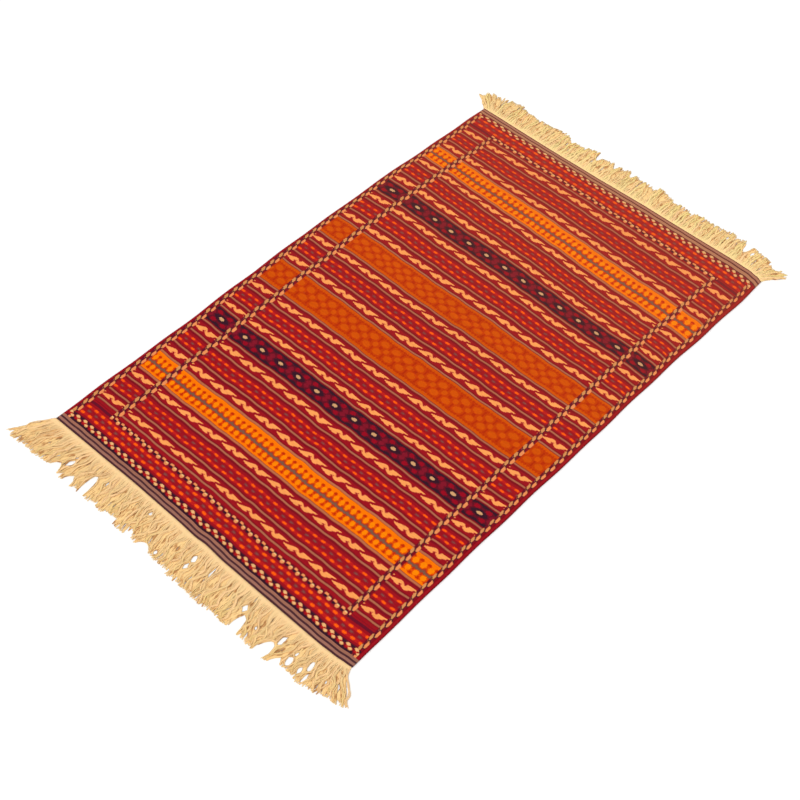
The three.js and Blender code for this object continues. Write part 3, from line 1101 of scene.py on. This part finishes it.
def strand_faces(count):
    """Quads of many closed strands, and the two coordinates of every corner, round and along."""
    index = np.arange(count * STRAND_STEPS * STRAND_SIDES).reshape(count, STRAND_STEPS, STRAND_SIDES)
    following = np.roll(index, -1, axis=2)
    sides = np.stack([index[:, :-1], index[:, 1:], following[:, 1:], following[:, :-1]], axis=-1)
    turns = np.arange(STRAND_SIDES) / STRAND_SIDES
    round_it = np.stack([turns, turns, turns + 1 / STRAND_SIDES, turns + 1 / STRAND_SIDES], axis=-1)
    along = np.linspace(0, 1, STRAND_STEPS)
    along = np.stack([along[:-1], along[1:], along[1:], along[:-1]], axis=-1)
    side_round = np.broadcast_to(round_it[None, None], sides.shape)
    side_along = np.broadcast_to(along[None, :, None], sides.shape)
    ends = np.stack([index[:, 0], index[:, -1, ::-1]], axis=1)
    end_round = np.broadcast_to(turns[None, None], ends.shape)
    end_along = np.broadcast_to(np.array([0.0, 1.0])[None, :, None], ends.shape)

    def joined(side_values, end_values):
        return np.concatenate([side_values.reshape(count, -1, 4), end_values], axis=1)

    return joined(sides, ends), joined(side_round, end_round), joined(side_along, end_along)


WARM_YARN = paint(255, 210, 154)
MAT_YARN = paint(255, 214, 148)
# Painted shade for the mat: its patches stand for the shadow in the gaps between the locks.
MAT_PAINTED_SHADE = paint(200, 144, 90)
SHADE_SPREAD = 0.08
PLY_RELIEF = 0.4
YARN_ROUGHNESS = 0.9
YARN_GLOSS = 0.1


def yarn_material(name, root, middle, tip, least):
    """Undyed plied warp yarn. Each strip has its own tone, and past its root the mat has patches of painted
    shade, where the gaps between the locks lie in shadow.
    """
    material, tree = empty_material(name)
    strand, along = uv_parts(tree, "strand")
    number = maths(tree, "FLOOR", maths(tree, "MULTIPLY", strand, float(SHADE_STRIPS)))
    chance = node(tree, "TexWhiteNoise", {"W": number}, noise_dimensions="1D").outputs["Value"]
    tone = node(tree, "ValToRGB", {0: along})
    ramp = tone.color_ramp
    ramp.elements[0].color = root
    ramp.elements[1].position = 1.0
    ramp.elements[1].color = tip
    ramp.elements.new(0.3).color = middle
    warm = mixed(tree, chance, tone.outputs[0], WARM_YARN)
    under = maths(tree, "LESS_THAN", strand, MAT_STRIPS / SHADE_STRIPS)
    mat_part = maths(tree, "MULTIPLY", under, risen(tree, along, 0.08, 0.3))
    place = node(tree, "CombineXYZ", {
        0: maths(tree, "MULTIPLY", number, 0.4),
        1: maths(tree, "MULTIPLY", along, 5.0),
    })
    # Painted shade: noise patches darken the mat past its root, where the gaps between the locks lie in
    # shadow.
    shade_patches = node(tree, "TexNoise", {"Vector": place.outputs[0], "Scale": 1.0, "Detail": 0.0})
    painted_shade = risen(tree, shade_patches.outputs[0], 0.53, 0.65)
    tinted = mixed(tree, mat_part, warm, mixed(tree, painted_shade, MAT_YARN, MAT_PAINTED_SHADE))
    shade = scaled(tree, chance, SHADE_SPREAD, least)
    yarn = node(tree, "HueSaturation", {"Color": tinted, "Value": shade})
    turn, length = uv_parts(tree, "twist")
    ply = maths(tree, "SINE", maths(tree, "ADD", maths(tree, "MULTIPLY", turn, 4 * math.pi), length))
    finish_fibre(tree, yarn.outputs[0], YARN_ROUGHNESS, YARN_GLOSS, ply, PLY_RELIEF)
    return material


def make_fringe(name, end_along, outward, tufts, gaps, style, material):
    chance = np.random.default_rng(style["seed"])
    across, out, up, lengths, loose, locks = strand_paths(tufts, gaps, style, chance)
    on_cloth = np.clip(across, 0, CLOTH_WIDTH)
    edge_x, edge_y = cloth_point(on_cloth, np.full_like(on_cloth, end_along))
    x = edge_x + across - on_cloth
    y = edge_y + outward * out
    centres = np.stack([ORIGIN_X + x * MM, ORIGIN_Y + y * MM, up * MM], axis=-1)
    count = len(across)
    near_tip = eased_part(np.linspace(0, 1, STRAND_STEPS), TAPER_START, 1)
    taper = between(1.0, TIP_THICKNESS, near_tip)[None, :]
    thick = chance.uniform(*THICKNESSES, (count, 1)) * taper * MM
    widths = np.where(loose, MAT_HALF_WIDTH, HALF_WIDTH)[:, None] * thick
    rings = strand_rings(centres, widths, HALF_HEIGHT * thick)
    faces, round_it, along = strand_faces(count)
    mat_strip = np.arange(count) // MAT_STRANDS_ALIKE % MAT_STRIPS
    lock_strip = MAT_STRIPS + locks % (SHADE_STRIPS - MAT_STRIPS)
    strip = np.where(loose, mat_strip, lock_strip)[:, None, None]
    strand_u = np.broadcast_to((strip + 0.5) / SHADE_STRIPS, along.shape)
    twist_v = along * lengths[:, None, None] / PLY_LENGTH * 2 * math.pi
    bake_u = (strip + between(STRIP_MARGIN, 1 - STRIP_MARGIN, round_it)) / SHADE_STRIPS
    bake_v = between(STRIP_END_MARGIN, 1 - STRIP_END_MARGIN, along)

    def uvs(across_map, up_map):
        return np.stack([across_map, up_map], axis=-1).reshape(-1, 4, 2)

    maps = {"strand": uvs(strand_u, along), "twist": uvs(round_it, twist_v), "OFBake": uvs(bake_u, bake_v)}
    return make_mesh(name, rings.reshape(-1, 3), faces.reshape(-1, 4), maps, [material])


# ---- The floor and the light ----

FLOOR_SIZE = 30.0
FLOOR_DROP = 0.0005
FLOOR_COLOUR = (0.93, 0.93, 0.925, 1)
FLOOR_LIFT = 0.1
SKY_STRENGTH = 0.74
SUN_STRENGTH = 1.25
SUN_SPREAD = 40.0
SUN_TURN = (36.0, 0.0, 5.0)


def seen_rays(tree):
    """1 for what the camera sees straight, in a mirror or through glass, and 0 for light on surfaces."""
    path = node(tree, "LightPath")
    seen = maths(tree, "MAXIMUM", path.outputs["Is Camera Ray"], path.outputs["Is Glossy Ray"])
    return maths(tree, "MAXIMUM", seen, path.outputs["Is Transmission Ray"])


def make_floor():
    half = FLOOR_SIZE / 2
    points = np.array([(-half, -half, 0), (half, -half, 0), (half, half, 0), (-half, half, 0)])
    material, tree = empty_material("floor")
    pale = node(tree, "BsdfDiffuse", {"Color": FLOOR_COLOUR})
    lift = node(tree, "Emission", {"Strength": maths(tree, "MULTIPLY", seen_rays(tree), FLOOR_LIFT)})
    both = node(tree, "AddShader", {0: pale.outputs[0], 1: lift.outputs[0]})
    node(tree, "OutputMaterial", {0: both.outputs[0]})
    floor = make_mesh("floor", points, np.array([[0, 1, 2, 3]]), {}, [material], smooth=False)
    floor.location.z = -FLOOR_DROP


def make_light():
    world = bpy.data.worlds.new("world")
    bpy.context.scene.world = world
    world.use_nodes = True
    tree = world.node_tree
    tree.nodes.clear()
    strength = scaled(tree, seen_rays(tree), 1 - SKY_STRENGTH, SKY_STRENGTH)
    sky = node(tree, "Background", {"Color": (1, 1, 1, 1), "Strength": strength})
    node(tree, "OutputWorld", {0: sky.outputs[0]})
    lamp = bpy.data.lights.new("key", "SUN")
    lamp.energy = SUN_STRENGTH
    lamp.angle = math.radians(SUN_SPREAD)
    key = bpy.data.objects.new("key", lamp)
    key.rotation_euler = [math.radians(turn) for turn in SUN_TURN]
    bpy.context.collection.objects.link(key)


# ---- Assembly ----

scene = bpy.context.scene
scene.view_settings.view_transform = "Standard"

make_floor()
make_light()

cloth = make_cloth()
near_yarn = yarn_material(
    "near_warp_yarn", paint(255, 219, 160), paint(255, 217, 157), paint(255, 217, 142), 0.95)
# The far fringe's yarn is a little yellower, and painted brighter to make up for the shade its strands take
# from the light.
far_yarn = yarn_material(
    "far_warp_yarn", paint(255, 227, 156), paint(255, 227, 156), paint(255, 226, 143), 0.98)
near_fringe = make_fringe(
    "rug_fringe_near", 0.0, -1, NEAR_TUFTS, NEAR_GAPS, FRINGE_STYLES["near"], near_yarn)
far_fringe = make_fringe(
    "rug_fringe_far", float(CLOTH_LENGTH), 1, FAR_TUFTS, FAR_GAPS, FRINGE_STYLES["far"], far_yarn)

for piece, replaced, finish_slot in (
    (cloth, "woven_cloth", "wool"),
    (near_fringe, "fringe_near", "warp_yarn"),
    (far_fringe, "fringe_far", "warp_yarn"),
):
    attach(piece, "root")
    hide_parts(replaced)
